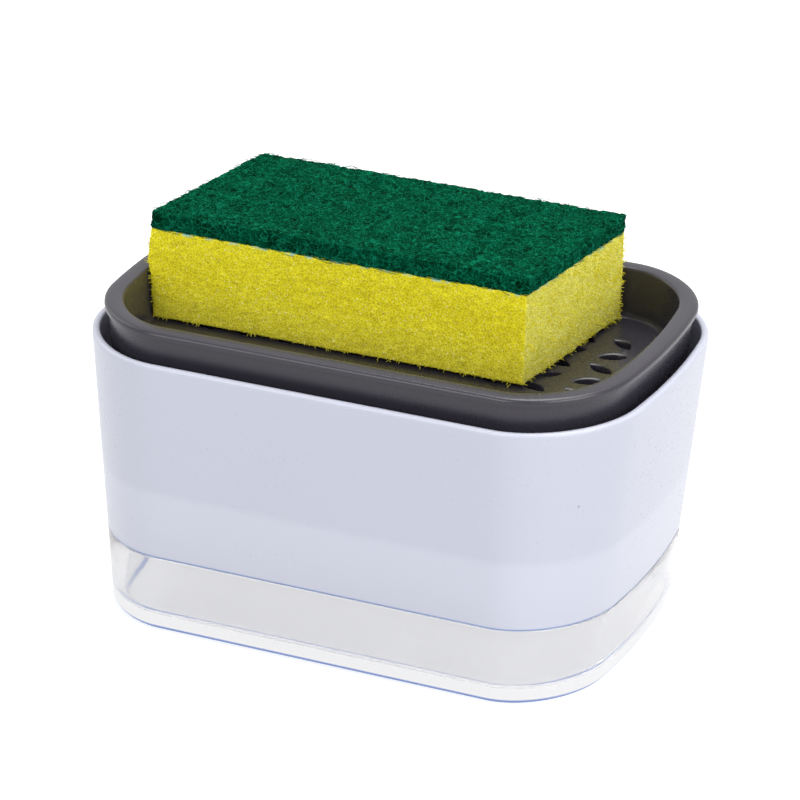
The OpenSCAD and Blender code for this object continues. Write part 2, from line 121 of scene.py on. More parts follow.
def modify(piece, kind, **settings):
    """Adds a modifier and applies it."""
    pick(piece)
    modifier = piece.modifiers.new(kind.lower(), kind)
    for key, value in settings.items():
        setattr(modifier, key, value)
    bpy.ops.object.modifier_apply(modifier=modifier.name)


def smooth(piece, degrees=35):
    pick(piece)
    bpy.ops.object.shade_smooth_by_angle(angle=math.radians(degrees))


def outward(piece):
    """Merges doubles and points all faces outwards."""
    pick(piece)
    bpy.ops.object.mode_set(mode="EDIT")
    bpy.ops.mesh.select_all(action="SELECT")
    bpy.ops.mesh.remove_doubles(threshold=1e-7)
    bpy.ops.mesh.normals_make_consistent(inside=False)
    bpy.ops.object.mode_set(mode="OBJECT")


def unslivered(piece):
    """Takes out the slivers that a cut leaves: pairs of faces that have the same corners."""
    pick(piece)
    bpy.ops.object.mode_set(mode="EDIT")
    bpy.ops.mesh.select_all(action="SELECT")
    bpy.ops.mesh.remove_doubles(threshold=1e-6)
    bpy.ops.mesh.quads_convert_to_tris(quad_method="BEAUTY", ngon_method="BEAUTY")
    bpy.ops.mesh.select_all(action="DESELECT")
    mesh = bmesh.from_edit_mesh(piece.data)
    by_corners = {}
    for face in mesh.faces:
        by_corners.setdefault(frozenset(vert.index for vert in face.verts), []).append(face)
    for same in by_corners.values():
        if len(same) > 1:
            for face in same:
                face.select_set(True)
    bpy.ops.mesh.delete(type="ONLY_FACE")
    bpy.ops.mesh.select_all(action="SELECT")
    bpy.ops.mesh.delete_loose()
    bpy.ops.object.mode_set(mode="OBJECT")


def join(pieces, name):
    deselect()
    for piece in pieces:
        piece.select_set(True)
    bpy.context.view_layer.objects.active = pieces[0]
    bpy.ops.object.join()
    return named(name)


def inset_at(z):
    return BASE_INSET * (1 - z / CASING_TOP)


def outline(inset):
    """The caddy's plan drawn in from the casing's rim line, in millimetres, from the right end on."""
    half_w, half_d = BODY_W / 2 - inset, BODY_D / 2 - inset
    rw, rd = max(CORNER_W - inset, 1), max(CORNER_D - inset, 1)
    long, deep = half_w - rw, half_d - rd
    points = []

    def put(x, y):
        points.append((x * (1 - END_BOW * (y / half_d) ** 2), y))

    for side in (1, -1):
        for k in range(1, END_POINTS):
            put(side * half_w, side * deep * (2 * k / END_POINTS - 1))
        for k in range(CORNER_POINTS + 1):
            a = math.pi / 2 * k / CORNER_POINTS
            put(side * (long + rw * math.cos(a)), side * (deep + rd * math.sin(a)))
        for k in range(1, SIDE_POINTS):
            put(side * long * (1 - 2 * k / SIDE_POINTS), side * half_d)
        for k in range(CORNER_POINTS, -1, -1):
            a = math.pi / 2 * k / CORNER_POINTS
            put(-side * (long + rw * math.cos(a)), side * (deep + rd * math.sin(a)))
    return points


RING = len(outline(0))


def circle(radius):
    """A circle with as many points as the outline, in the same order."""
    turns = [2 * math.pi / RING * (k - END_POINTS / 2 + 1) for k in range(RING)]
    return [(radius * math.cos(a), radius * math.sin(a)) for a in turns]


def drawn_ring(kind, z, size):
    plan = outline(size) if kind == "plan" else circle(size)
    return [Vector((x * MM, y * MM, z * MM)) for x, y in plan]


def pulled_shell(name, steps, closed):
    """A shell that is pulled up from one ring of edges, step by step. Each step is ("plan", height, inset)
    or ("round", height, radius). A closed one runs back into its first ring, and an open one is capped at
    both ends."""
    deselect()
    bpy.ops.mesh.primitive_circle_add(vertices=RING, radius=BODY_W / 2 * MM, fill_type="NOTHING")
    piece = named(name)
    bpy.ops.object.mode_set(mode="EDIT")
    mesh = bmesh.from_edit_mesh(piece.data)
    ring = list(mesh.verts)
    for vert, place in zip(ring, drawn_ring(*steps[0])):
        vert.co = place
    first = list(range(RING))
    last = first
    for step in steps[1:]:
        bpy.ops.mesh.select_all(action="DESELECT")
        mesh = bmesh.from_edit_mesh(piece.data)
        mesh.verts.ensure_lookup_table()
        before = {tuple(round(c * 1e7) for c in mesh.verts[k].co): n for n, k in enumerate(last)}
        chosen = set(last)
        for edge in mesh.edges:
            if edge.verts[0].index in chosen and edge.verts[1].index in chosen:
                edge.select_set(True)
        bpy.ops.mesh.extrude_edges_move()
        mesh = bmesh.from_edit_mesh(piece.data)
        mesh.verts.index_update()
        places = drawn_ring(*step)
        last = [0] * RING
        for vert in mesh.verts:
            if vert.select:
                n = before[tuple(round(c * 1e7) for c in vert.co)]
                last[n] = vert.index
        mesh.verts.ensure_lookup_table()
        for n, k in enumerate(last):
            mesh.verts[k].co = places[n]
        bmesh.update_edit_mesh(piece.data)
    for ends in ([first + last] if closed else [first, last]):
        bpy.ops.mesh.select_all(action="DESELECT")
        mesh = bmesh.from_edit_mesh(piece.data)
        chosen = set(ends)
        for edge in mesh.edges:
            if edge.is_boundary and edge.verts[0].index in chosen and edge.verts[1].index in chosen:
                edge.select_set(True)
        if closed:
            bpy.ops.mesh.bridge_edge_loops()
        else:
            bpy.ops.mesh.edge_face_add()
    bpy.ops.object.mode_set(mode="OBJECT")
    outward(piece)
    return piece


def bend(kind, z, size, dz, dsize, count=4):
    """Steps of a rounded edge: from (z, size), a quarter turn that ends dz higher and dsize further in.
    A positive count starts along z, a negative one along the size."""
    steps = []
    for k in range(1, abs(count)):
        a = math.pi / 2 * k / abs(count)
        up, across = (math.sin(a), 1 - math.cos(a)) if count > 0 else (1 - math.cos(a), math.sin(a))
        steps.append((kind, z + dz * up, size + dsize * across))
    return steps + [(kind, z + dz, size + dsize)]


def boxed(name, low, high, bevel):
    """A bar between two corners in millimetres, with its edges eased."""
    deselect()
    bpy.ops.mesh.primitive_cube_add(size=1, location=[(a + b) / 2 * MM for a, b in zip(low, high)])
    piece = named(name)
    piece.scale = [(b - a) * MM for a, b in zip(low, high)]
    settle(piece)
    bpy.ops.object.mode_set(mode="EDIT")
    bpy.ops.mesh.select_all(action="SELECT")
    bpy.ops.mesh.bevel(offset=bevel * MM, segments=2, affect="EDGES")
    bpy.ops.object.mode_set(mode="OBJECT")
    return piece


# Finishes


def node_group(name, inputs, outputs):
    group = bpy.data.node_groups.new(name, "ShaderNodeTree")
    for label, value in inputs:
        socket = group.interface.new_socket(name=label, in_out="INPUT", socket_type="NodeSocketFloat")
        socket.default_value = value
    for label in outputs:
        group.interface.new_socket(name=label, in_out="OUTPUT", socket_type="NodeSocketFloat")
    return group, Tree(group)


class Tree:
    """Adds nodes to a node tree and joins them."""

    def __init__(self, owner):
        self.nodes, self.links = owner.nodes, owner.links

    def add(self, kind, inputs=None, **settings):
        node = self.nodes.new(kind)
        for key, value in settings.items():
            setattr(node, key, value)
        for key, value in (inputs or {}).items():
            if isinstance(value, bpy.types.NodeSocket):
                self.links.new(value, node.inputs[key])
            else:
                node.inputs[key].default_value = value
        return node

    def sum(self, operation, a, b=0.0, c=0.0):
        return self.add("ShaderNodeMath", {0: a, 1: b, 2: c}, operation=operation).outputs[0]

    def spread(self, value, low, high, to_low=0.0, to_high=1.0, soft=False):
        kind = "SMOOTHSTEP" if soft else "LINEAR"
        ends = {0: value, 1: low, 2: high, 3: to_low, 4: to_high}
        return self.add("ShaderNodeMapRange", ends, interpolation_type=kind).outputs[0]

    def tint(self, share, a, b, blend="MIX"):
        node = self.add("ShaderNodeMix", data_type="RGBA", blend_type=blend)
        for socket, value in ((node.inputs[0], share), (node.inputs[6], a), (node.inputs[7], b)):
            if isinstance(value, bpy.types.NodeSocket):
                self.links.new(value, socket)
            else:
                socket.default_value = value
        return node.outputs[2]

    def noise(self, place, scale, detail, **inputs):
        values = {"Vector": place, "Scale": scale, "Detail": detail, **inputs}
        return self.add("ShaderNodeTexNoise", values).outputs[0]

    def place(self):
        return self.add("ShaderNodeTexCoord").outputs["Object"]


def moulded_group():
    """Moulded plastic: a slow mottle, a fine grain and the small ripples of a mould wall."""
    inputs = [("Mottle", 0.05), ("Grain Scale", 1500), ("Grain", 0.3)]
    group, tree = node_group("moulded plastic", inputs, ["Shade", "Gloss", "Height"])
    given = tree.add("NodeGroupInput")
    place = tree.place()
    slow = tree.noise(place, 22, 2)
    fine = tree.noise(place, given.outputs[1], 1)
    ripple = tree.noise(place, 75, 1)
    swing = tree.sum("MULTIPLY", tree.sum("SUBTRACT", slow, 0.5), given.outputs[0])
    shade = tree.sum("ADD", swing, 1.0)
    gloss = tree.sum("ADD", tree.sum("MULTIPLY", tree.sum("SUBTRACT", fine, 0.5), 0.12), swing)
    grain = tree.sum("MULTIPLY", fine, given.outputs[2])
    height = tree.sum("ADD", grain, tree.sum("MULTIPLY", ripple, 2.0))
    tree.add("NodeGroupOutput", {0: shade, 1: gloss, 2: height})
    return group


def specks_group():
    """Sparse tiny specks in a moulded wall."""
    group, tree = node_group("specks", [("Scale", 260), ("Size", 0.06), ("Share", 0.03)], ["Speck"])
    given = tree.add("NodeGroupInput")
    place = tree.place()
    cell = tree.add("ShaderNodeTexVoronoi", {"Vector": place, "Scale": given.outputs[0]})
    chance = tree.add("ShaderNodeTexWhiteNoise", {"Vector": cell.outputs["Position"]}).outputs[0]
    near = tree.sum("LESS_THAN", cell.outputs["Distance"], given.outputs[1])
    drawn = tree.sum("LESS_THAN", chance, given.outputs[2])
    tree.add("NodeGroupOutput", {0: tree.sum("MULTIPLY", near, drawn)})
    return group


def cells_group():
    """Open foam cells, of two sizes: a strut mask that leaves the pores for painted shade, a mask for painted
    glints, and the struts' height.
    """
    group, tree = node_group("foam cells", [("Scale", 1250), ("Strut", 0.22)], ["Strut", "Glint", "Height"])
    given = tree.add("NodeGroupInput")
    place = tree.place()
    wobble = tree.add("ShaderNodeTexNoise", {"Vector": place, "Scale": 700, "Detail": 1}).outputs[1]
    bent = tree.add("ShaderNodeVectorMath", {0: wobble, 1: (0.0005, 0.0005, 0.0005), 2: place},
                    operation="MULTIPLY_ADD").outputs[0]
    masks = []
    for factor in (1.0, 1.6):
        scale = tree.sum("MULTIPLY", given.outputs[0], factor)
        cell = tree.add("ShaderNodeTexVoronoi", {"Vector": bent, "Scale": scale}, feature="DISTANCE_TO_EDGE")
        masks.append(tree.spread(cell.outputs[0], 0.0, given.outputs[1], 1.0, 0.0, soft=True))
    uneven = tree.noise(place, 620, 2, Roughness=0.7)
    strut = tree.sum("ADD", tree.sum("MULTIPLY", masks[0], 0.7), tree.sum("MULTIPLY", masks[1], 0.3))
    strut = tree.sum("ADD", strut, tree.sum("MULTIPLY", tree.sum("SUBTRACT", uneven, 0.45), 1.3))
    sparkle = tree.noise(place, 1700, 1)
    glint = tree.sum("MULTIPLY", tree.spread(sparkle, 0.62, 0.7), tree.spread(strut, 0.3, 0.7))
    tree.add("NodeGroupOutput", {0: strut, 1: glint, 2: strut})
    return group


def tangle_group():
    """Tangled fibres: thin threads that cross at all angles and hollows between them, as masks for painted
    highlights and painted shade, with their height.
    """
    inputs = [("Scale", 330), ("Width", 0.026)]
    group, tree = node_group("fibre tangle", inputs, ["Thread", "Hollow", "Height"])
    given = tree.add("NodeGroupInput")
    place = tree.place()
    thread = 0.0
    for factor, shift in ((1.0, 0.0), (1.45, 0.3), (2.1, 0.7)):
        scale = tree.sum("MULTIPLY", given.outputs[0], factor)
        moved = tree.add("ShaderNodeVectorMath", {0: place, 1: (shift, shift, shift)}, operation="ADD")
        drift = tree.noise(moved.outputs[0], scale, 1)
        off = tree.sum("ABSOLUTE", tree.sum("SUBTRACT", drift, 0.5))
        ridge = tree.spread(off, 0.0, given.outputs[1], 1.0, 0.0, soft=True)
        thread = tree.sum("MAXIMUM", ridge, thread)
    hollow = tree.noise(place, 230, 4, Roughness=0.72)
    height = tree.sum("ADD", thread, tree.sum("MULTIPLY", hollow, 1.5))
    tree.add("NodeGroupOutput", {0: thread, 1: hollow, 2: height})
    return group


MOULDED, SPECKS, CELLS, TANGLE = moulded_group(), specks_group(), cells_group(), tangle_group()


def finish_named(name):
    """A new material, its tree and its shader."""
    material = bpy.data.materials.new(name)
    material.use_nodes = True
    tree = Tree(material.node_tree)
    shader = material.node_tree.nodes["Principled BSDF"]
    return material, tree, shader


def grouped(tree, group, **values):
    node = tree.add("ShaderNodeGroup", node_tree=group)
    for key, value in values.items():
        node.inputs[key.replace("_", " ")].default_value = value
    return node


def raised(tree, shader, height, depth):
    """Lets a height stand out of the surface by a depth in metres."""
    bump = tree.add("ShaderNodeBump", {"Height": height, "Strength": 1.0, "Distance": depth})
    tree.links.new(bump.outputs[0], shader.inputs["Normal"])


def plastic(name, colour, roughness, mottle=0.05, grain=0.3, depth=0.00001, **sockets):
    """A moulded plastic. Sockets are set on the shader itself."""
    material, tree, shader = finish_named(name)
    moulded = grouped(tree, MOULDED, Mottle=mottle, Grain=grain)
    grey = tree.add("ShaderNodeCombineColor", {channel: moulded.outputs[0] for channel in range(3)})
    painted = tree.tint(1.0, (*colour, 1), grey.outputs[0], "MULTIPLY")
    tree.links.new(painted, shader.inputs["Base Color"])
    tree.links.new(tree.sum("ADD", moulded.outputs[1], roughness), shader.inputs["Roughness"])
    raised(tree, shader, moulded.outputs[2], depth)
    for key, value in sockets.items():
        shader.inputs[key.replace("_", " ")].default_value = value
    return material, tree, shader, painted


def casing_finish():
    """Cool white satin plastic with a few specks in it, painted lighter below the deck as light, with a
    painted blue-grey shadow line along its bottom edge at the seam.
    """
    material, tree, shader, painted = plastic(
        "white casing plastic", (0.507, 0.522, 0.613), 0.3, mottle=0.03, grain=0.05, depth=0.000004,
    )
    height = tree.add("ShaderNodeSeparateXYZ", {0: tree.place()}).outputs[2]
    # Painted light: the wall below the deck is painted lighter, standing in for light that falls differently
    # above and below the deck.
    painted_light_below_deck = tree.spread(height, 0.037, 0.04, 0.5, 0.0, soft=True)
    painted = tree.tint(painted_light_below_deck, painted, (0.593, 0.608, 0.7, 1))
    speck = grouped(tree, SPECKS, Scale=150, Size=0.05, Share=0.008).outputs[0]
    specked = tree.tint(speck, painted, (0.28, 0.3, 0.36, 1))
    # Painted shade: a thin blue-grey line along the bottom edge at the seam, standing in for the shadow and
    # reflection in the gap over the tank.
    edge = tree.spread(height, 0.02085, 0.02115, 1.0, 0.0)
    tree.links.new(tree.tint(edge, specked, (0.2, 0.29, 0.54, 1)), shader.inputs["Base Color"])
    return material


def tray_finish():
    """Warm grey satin plastic."""
    return plastic("grey tray plastic", (0.027, 0.0245, 0.034), 0.3, mottle=0.12, grain=0.8)[0]


def clear_finish():
    """Clear moulded plastic with faint flow ripples, and a painted dark blue shade line at its foot."""
    material, tree, shader = finish_named("clear tank plastic")
    shader.inputs["Transmission Weight"].default_value = 0.88
    shader.inputs["IOR"].default_value = 1.49
    place = tree.place()
    lying = tree.add("ShaderNodeMapping", {"Vector": place, "Scale": (0.25, 0.25, 1.6)}).outputs[0]
    flow = tree.noise(lying, 120, 2)
    tree.links.new(tree.spread(flow, 0.3, 0.7, 0.02, 0.09), shader.inputs["Roughness"])
    height = tree.add("ShaderNodeSeparateXYZ", {0: place}).outputs[2]
    layered = tree.add("ShaderNodeMapping", {"Vector": place, "Scale": (0.02, 0.02, 1.0)}).outputs[0]
    streak = tree.noise(layered, 900, 2)
    low = tree.spread(height, 0.004, 0.009, 0.9, 0.0, soft=True)
    raised(tree, shader, tree.sum("ADD", flow, tree.sum("MULTIPLY", streak, low)), 0.00007)
    # Painted shade: a thin dark blue line just above the foot, standing in for the shade and colour fringe
    # where the tank meets the floor.
    above, below = tree.spread(height, 0.00004, 0.00015), tree.spread(height, 0.0012, 0.0016, 1.0, 0.0)
    foot = tree.tint(tree.sum("MULTIPLY", above, below), (0.86, 0.86, 0.88, 1), (0.04, 0.11, 0.5, 1))
    tree.links.new(foot, shader.inputs["Base Color"])
    shadow = tree.add("ShaderNodeLightPath").outputs["Is Shadow Ray"]
    through = tree.add("ShaderNodeBsdfTransparent", {0: (0.96, 0.97, 0.98, 1)})
    both = tree.add("ShaderNodeMixShader", {0: shadow, 1: shader.outputs[0], 2: through.outputs[0]})
    tree.links.new(both.outputs[0], material.node_tree.nodes["Material Output"].inputs["Surface"])
    return material


def foam_finish():
    """Open-cell yellow foam: struts over pores painted darker as shade, greyer low down, the right end
    painted paler as light, painted glints, and a glue line at the top.
    """
    material, tree, shader = finish_named("yellow open-cell foam")
    cells = grouped(tree, CELLS)
    place = tree.place()
    height = tree.add("ShaderNodeSeparateXYZ", {0: place}).outputs[2]
    patch = tree.noise(place, 45, 3)
    rich = tree.tint(tree.spread(patch, 0.35, 0.65), (0.97, 0.88, 0.03, 1), (1.0, 0.93, 0.035, 1))
    tone_and_painted_light = tree.tint(tree.spread(height, 0.0675, 0.082, 0.3, 0.0, soft=True), rich, (0.62, 0.58, 0.12, 1))
    # Painted light: faces turned to the right are painted paler, standing in for the stronger light on the
    # right end.
    normal = tree.add("ShaderNodeTexCoord").outputs["Normal"]
    normal_x_for_painted_light = tree.add("ShaderNodeSeparateXYZ", {0: normal}).outputs[0]
    tone_and_painted_light = tree.tint(tree.spread(normal_x_for_painted_light, 0.4, 0.9, 0.0, 0.8), tone_and_painted_light, (0.82, 0.8, 0.2, 1))
    # Painted shade: the pores between the struts are painted darker, standing in for the shade in the open
    # cells.
    painted_pore_shade = tree.tint(1.0, tone_and_painted_light, (0.67, 0.63, 0.28, 1), "MULTIPLY")
    body = tree.tint(tree.sum("MINIMUM", cells.outputs["Strut"], 1.0), painted_pore_shade, tone_and_painted_light)
    # Painted highlights: small glints painted pale yellow on the struts.
    lit = tree.tint(cells.outputs["Glint"], body, (1.0, 0.97, 0.4, 1))
    spots = tree.spread(tree.noise(place, 420, 2), 0.5, 0.62)
    glued = tree.sum("MULTIPLY", tree.spread(height, 0.0904, 0.0912, soft=True), spots)
    tree.links.new(tree.tint(glued, lit, (0.4, 0.7, 0.55, 1)), shader.inputs["Base Color"])
    tree.links.new(tree.spread(cells.outputs["Glint"], 0, 1, 0.95, 0.5), shader.inputs["Roughness"])
    shader.inputs["Specular IOR Level"].default_value = 0.15
    raised(tree, shader, cells.outputs["Height"], 0.00007)
    return material


def fibre_finish(name, dark, middle, light, depth):
    """Non-woven scouring fibre, painted dark in the hollows as shade and bright on the threads as highlights.
    """
    material, tree, shader = finish_named(name)
    tangle = grouped(tree, TANGLE)
    # Painted shade and highlights: the hollows take the dark colour as shade, the threads the light colour as
    # highlights, and the middle colour is the fibre's own green.
    ground = tree.tint(tree.spread(tangle.outputs[1], 0.38, 0.62), (*dark, 1), (*middle, 1))
    tree.links.new(tree.tint(tangle.outputs[0], ground, (*light, 1)), shader.inputs["Base Color"])
    tree.links.new(tree.spread(tangle.outputs[0], 0, 1, 0.85, 0.5), shader.inputs["Roughness"])
    shader.inputs["Specular IOR Level"].default_value = 0.02
    if depth:
        raised(tree, shader, tangle.outputs[2], depth)
    return material


def steel_finish():
    material, tree, shader = finish_named("polished steel")
    place = tree.place()
    drawn = tree.noise(place, 2500, 2)
    clouded = tree.tint(tree.noise(place, 500, 2), (0.5, 0.5, 0.51, 1), (0.66, 0.66, 0.67, 1))
    tree.links.new(clouded, shader.inputs["Base Color"])
    tree.links.new(tree.spread(drawn, 0.3, 0.7, 0.14, 0.3), shader.inputs["Roughness"])
    shader.inputs["Metallic"].default_value = 1.0
    raised(tree, shader, drawn, 0.000004)
    return material


def coat(piece, material):
    piece.data.materials.clear()
    piece.data.materials.append(material)


# The casing


def casing():
    """The white shell: a tapered wall with a rounded rim, the deck and the threaded boss."""
    wall = CASING_WALL
    steps = [("plan", SEAM, inset_at(SEAM) + 0.35)]
    steps += bend("plan", SEAM, inset_at(SEAM) + 0.35, 0.35, -0.35, -3)
    steps += [("plan", z, inset_at(z)) for z in (30, 40, 50, 60, 68, 71.6)]
    steps += bend("plan", 72.1, inset_at(72.1), 0.9, 0.95, 5)
    steps += bend("plan", 73, 1.25, -0.7, 0.75, -4)
    steps += [("plan", z, inset_at(z) + wall) for z in (68, 56, 45)]
    steps += bend("plan", DECK + 1.5, inset_at(DECK + 1.5) + wall, -1.5, 1.5, 4)
    steps += [("plan", DECK, MIDDLE_INSET), ("round", DECK, BOSS_R + 6)]
    steps += bend("round", DECK, BOSS_R + 0.5, 0.3, -0.5, -2)
    for turn in range(2):
        z = DECK + 1.2 + turn * THREAD_PITCH
        for dz, dr in ((-0.4, 0), (-0.24, THREAD_H), (0.24, THREAD_H), (0.4, 0)):
            steps.append(("round", z + dz, BOSS_R + dr))
    steps += bend("round", BOSS_TOP - 0.5, BOSS_R, 0.5, -0.5, 3)
    steps += bend("round", BOSS_TOP, BOSS_BORE + 0.3, -0.3, -0.3, -3)
    steps += [("round", DECK - DECK_T, BOSS_BORE), ("plan", DECK - DECK_T, MIDDLE_INSET)]
    steps += [("plan", z, inset_at(z) + wall) for z in (DECK - DECK_T, 30, SEAM)]
    piece = pulled_shell("white_casing", steps, closed=True)
    smooth(piece)
    coat(piece, casing_finish())
    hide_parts("casing")
    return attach(piece, "casing")


# The tank


def tank():
    """The clear tank: a skirt with a rounded foot, a ledge at the seam, and the neck inside the casing."""
    neck = inset_at(SEAM) + CASING_WALL + 0.5
    inner = neck + TANK_WALL
    steps = [("plan", 0, 22), ("plan", 0, inset_at(0) + 2.2)]
    steps += bend("plan", 0, inset_at(0) + 2.0, 2.0, -2.0 - 0.15, -6)
    steps += [("plan", 10, inset_at(10)), ("plan", SEAM - 0.35, inset_at(SEAM - 0.35))]
    steps += bend("plan", SEAM - 0.35, inset_at(SEAM - 0.35), 0.35, 0.35, 3)
    steps += [("plan", SEAM, neck), ("plan", 30, neck + 0.2), ("plan", NECK_TOP - 0.3, neck + 0.4)]
    steps += bend("plan", NECK_TOP - 0.3, neck + 0.4, 0.3, 0.3, 2)
    steps += bend("plan", NECK_TOP, inner + 0.1, -0.3, 0.3, -2)
    steps += [("plan", 30, inner + 0.2), ("plan", 14, inner), ("plan", TANK_FLOOR + 3, inner)]
    steps += bend("plan", TANK_FLOOR + 3, inner, -3, 3, 7)
    steps += [("plan", TANK_FLOOR, MIDDLE_INSET)]
    piece = pulled_shell("clear_tank", steps, closed=False)
    smooth(piece)
    coat(piece, clear_finish())
    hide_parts("soap_tank")
    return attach(piece, "tank")


# The tray


def leaf_cutter():
    """One leaf: a circle's arc over its chord, mirrored, pulled up through the floor and flared there."""
    arc = (LEAF_LEN ** 2 + LEAF_W ** 2) / (4 * LEAF_W)
    middle = (0, (LEAF_W / 2 - arc) * MM, 0)
    deselect()
    bpy.ops.mesh.primitive_circle_add(vertices=96, radius=arc * MM, location=middle)
    piece = named("leaf_cutter")
    settle(piece)
    bpy.ops.object.mode_set(mode="EDIT")
    bpy.ops.mesh.select_all(action="SELECT")
    bpy.ops.mesh.bisect(plane_co=(0, 0, 0), plane_no=(0, 1, 0), clear_inner=True)
    bpy.ops.mesh.select_all(action="SELECT")
    bpy.ops.mesh.duplicate()
    bpy.ops.transform.resize(value=(1, -1, 1), center_override=(0, 0, 0))
    bpy.ops.mesh.select_all(action="SELECT")
    bpy.ops.mesh.remove_doubles(threshold=0.00005)
    bpy.ops.mesh.edge_face_add()
    bpy.ops.transform.translate(value=(0, 0, (HEAD_TOP - 0.6) * MM))
    for rise, grow in ((TRAY_FLOOR - HEAD_TOP + 0.15, 0), (0.25, 0.12), (0.15, 0.3), (0.1, 0.3)):
        bpy.ops.mesh.extrude_region_move(TRANSFORM_OT_translate={"value": (0, 0, rise * MM)})
        wider = (1 + 2 * grow / LEAF_LEN, 1 + 2 * grow / LEAF_W, 1)
        bpy.ops.transform.resize(value=wider, center_override=(0, 0, 0))
    bpy.ops.object.mode_set(mode="OBJECT")
    outward(piece)
    return piece


def tray():
    """The drip tray: rim, lip, well with a rounded foot and drain holes, ribs and locating ring below."""
    floor_inset = WELL_INSET + 1
    steps = [("round", HEAD_TOP, NOZZLE_HOLE), ("round", TRAY_FLOOR - 0.3, NOZZLE_HOLE)]
    steps += bend("round", TRAY_FLOOR - 0.3, NOZZLE_HOLE, 0.3, 0.3, 2)
    steps += [("round", TRAY_FLOOR, 14), ("plan", TRAY_FLOOR, 28)]
    steps += bend("plan", TRAY_FLOOR, floor_inset + 1.9, 1.9, -2.05, -5)
    steps += [("plan", 74, WELL_INSET + 0.45), ("plan", TRAY_TOP - 1, WELL_INSET)]
    steps += bend("plan", TRAY_TOP - 1, WELL_INSET, 0.9, -0.9, 4)
    steps += [("plan", TRAY_TOP, 5.6), ("plan", TRAY_TOP - 0.06, 4.3)]
    steps += bend("plan", TRAY_TOP - 0.12, 4.0, -0.95, -1.0, -5)
    steps += [("plan", TRAY_TOP - 1.75, TRAY_INSET + 0.02)]
    steps += bend("plan", TRAY_TOP - 1.75, TRAY_INSET + 0.02, -0.25, 0.25, 2)
    steps += [("plan", TRAY_TOP - 2.0, WALL_INSET + 0.02), ("plan", 72, WALL_INSET + 0.55),
              ("plan", HEAD_TOP + 1.4, WALL_INSET + 0.9)]
    steps += bend("plan", HEAD_TOP + 1.4, WALL_INSET + 0.9, -1.4, 1.4, 4)
    steps += [("plan", HEAD_TOP, 28), ("round", HEAD_TOP, 14)]
    piece = pulled_shell("grey_tray", steps, closed=True)
    first = leaf_cutter()
    clear = SOCKET_R + SOCKET_WALL + LEAF_LEN / 2
    cutters = [first]
    for row in range(HOLE_ROWS):
        for column in range(HOLE_COLUMNS):
            x = (column - (HOLE_COLUMNS - 1) / 2) * HOLE_PITCH_W
            y = (row - (HOLE_ROWS - 1) / 2) * HOLE_PITCH_D
            if math.hypot(x, y) > clear:
                cutter = first.copy()
                cutter.data = first.data.copy()
                bpy.context.scene.collection.objects.link(cutter)
                turn = Matrix.Rotation(math.radians(LEAF_TURN if row % 2 == 0 else -LEAF_TURN), 4, "Z")
                cutter.data.transform(Matrix.Translation((x * MM, y * MM, 0)) @ turn)
                cutters.append(cutter)
    bpy.data.objects.remove(first)
    holes = join(cutters[1:], "drain_holes")
    modify(piece, "BOOLEAN", operation="DIFFERENCE", object=holes, solver="EXACT")
    bpy.data.objects.remove(holes)
    unslivered(piece)
    below = []
    deep = BODY_D - 2 * (WALL_INSET + 1) - 2 * RIB_T
    long = BODY_W - 2 * (WALL_INSET + 1) - CORNER_W / 2
    for y in (-1.5 * HOLE_PITCH_D, 1.5 * HOLE_PITCH_D):
        below.append(boxed("tray_rib", (-long / 2, y - RIB_T / 2, HEAD_TOP - RIB_H),
                           (-SOCKET_R, y + RIB_T / 2, HEAD_TOP + 0.5), 0.25))
        below.append(boxed("tray_rib", (SOCKET_R, y - RIB_T / 2, HEAD_TOP - RIB_H),
                           (long / 2, y + RIB_T / 2, HEAD_TOP + 0.5), 0.25))
    for side in (-1, 1):
        ends = sorted((side * deep / 2, side * (SOCKET_R + SOCKET_WALL / 2)))
        below.append(boxed("tray_rib", (-RIB_T / 2, ends[0], HEAD_TOP - RIB_H),
                           (RIB_T / 2, ends[1], HEAD_TOP + 0.5), 0.25))
    ring_out = SOCKET_R + SOCKET_WALL
    ring = [("round", HEAD_TOP + 0.5, SOCKET_R), ("round", HEAD_TOP - 1.7, SOCKET_R),
            ("round", HEAD_TOP - 2, SOCKET_R + 0.3), ("round", HEAD_TOP - 2, ring_out - 0.3),
            ("round", HEAD_TOP - 1.7, ring_out), ("round", HEAD_TOP + 0.5, ring_out)]
    below.append(pulled_shell("locating_ring", ring, closed=True))
    piece = join([piece] + below, "grey_tray")
    smooth(piece)
    modify(piece, "WEIGHTED_NORMAL", mode="FACE_AREA", weight=100, keep_sharp=True)
    coat(piece, tray_finish())
    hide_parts("drip_tray")
    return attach(piece, "tray")


# The sponge


def sponge_block(name, low, high, bevel):
    """A block with the sponge's plan, a little out of square, placed as it lies on the tray."""
    piece = boxed(name, (-SPONGE_L / 2, -SPONGE_W / 2, low), (SPONGE_L / 2, SPONGE_W / 2, high), bevel)
    for vert in piece.data.vertices:
        vert.co.x += vert.co.y * SPONGE_SKEW
    piece.location = (SPONGE_X * MM, SPONGE_Y * MM, 0)
    settle(piece)
    return piece


def roughened(piece, kind, scale, strength, middle=0.5, **settings):
    """Moves a surface in and out by a pattern with a size and a strength in millimetres."""
    pattern = bpy.data.textures.new(piece.name + " " + kind.lower(), kind)
    pattern.noise_scale = scale * MM
    for key, value in settings.items():
        setattr(pattern, key, value)
    modify(piece, "DISPLACE", texture=pattern, strength=strength * MM, mid_level=middle,
           texture_coords="LOCAL")


def bulged(piece):
    """Presses the foam's left end out over the tray's rim: most at the rim, nothing at the pad."""
    for vert in piece.data.vertices:
        x, z = vert.co.x / MM - SPONGE_X, vert.co.z / MM
        share = min(max((-x - SPONGE_L / 2 + 30) / 30, 0), 1) ** 2
        rise = min(max((z - TRAY_TOP + 2.5) / 5, 0), 1)
        fall = math.cos(math.pi / 2 * min(max((z - TRAY_TOP) / (PAD_Z + 1 - TRAY_TOP), 0), 1))
        vert.co.x -= BULGE * MM * share * rise * rise * (3 - 2 * rise) * fall


